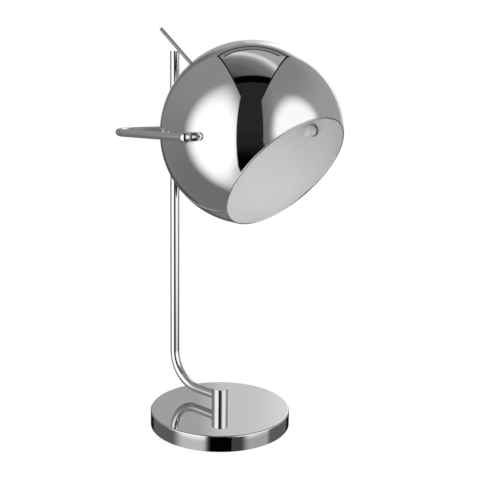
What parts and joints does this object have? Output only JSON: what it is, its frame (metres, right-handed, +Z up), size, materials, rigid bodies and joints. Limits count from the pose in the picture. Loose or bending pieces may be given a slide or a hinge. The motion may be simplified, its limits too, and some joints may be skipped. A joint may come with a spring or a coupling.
{
  "type": "table lamp",
  "caption": "Table lamp: a chromed ball shade, white inside, tilts in a U-shaped yoke on a J-shaped stem that rises from a round weighted foot; a thin handle sets its aim.",
  "frame": {"origin": "centre of the foot's rest face, on the surface that the lamp stands on", "axes": "+Z up along the post, -Y the way the shade looks, +Y towards the stem, X along the shade's tilt axis"},
  "size_m": [0.2364, 0.2452, 0.4646],
  "materials": {
    "chrome": "polished chrome plate on steel and brass",
    "shade_chrome": "polished chrome plate outside, matt white paint inside",
    "iron": "rough grey cast iron, painted black",
    "pad": "black foam sheet",
    "black_plastic": "moulded black plastic",
    "zinc": "zinc-plated steel",
    "screw_steel": "blackened steel",
    "holder_plastic": "white moulded plastic",
    "brass": "bare brass",
    "bulb_metal": "plated screw cap",
    "bulb_white": "white plastic",
    "bulb_opal": "opal white, softly shining",
    "white_nut": "white lacquer",
    "nylon": "dark nylon"
  },
  "bodies": {
    "stand": {"base_cover": "chrome", "base_weight": "iron", "base_pad": "pad", "base_washer": "zinc", "base_nut": "zinc", "post_nipple": "zinc", "cord_inlet": "black_plastic", "post": "chrome", "post_screw": "screw_steel", "stem": "chrome", "stem_cap": "chrome", "yoke_saddle": "chrome", "saddle_screw": "screw_steel", "yoke": "chrome", "arm_ball_left": "chrome", "pivot_stud_left": "zinc", "pivot_collar_left": "chrome", "outer_washer_left": "chrome", "inner_washer_left": "zinc", "cap_nut_left": "white_nut", "arm_ball_right": "chrome", "pivot_stud_right": "zinc", "pivot_collar_right": "chrome", "outer_washer_right": "chrome", "inner_washer_right": "zinc", "cap_nut_right": "white_nut"},
    "shade": {"shade": "shade_chrome", "handle_ferrule": "chrome", "handle_rod": "chrome", "pole_washer": "zinc", "pole_nut": "zinc", "holder_cap": "holder_plastic", "holder_body": "holder_plastic", "screw_shell": "brass", "holder_contact": "brass", "bulb_cap": "bulb_metal", "bulb_body": "bulb_white", "bulb_dome": "bulb_opal", "pivot_bush_left": "nylon", "pivot_seat_left": "nylon", "pivot_bush_right": "nylon", "pivot_seat_right": "nylon"}
  },
  "joints": [
    {"name": "shade_tilt", "type": "hinge", "parent": "stand", "child": "shade", "pos_m": [0, -0.055, 0.3455], "axis": [1, 0, 0], "range_deg": [0, 90]}
  ]
}
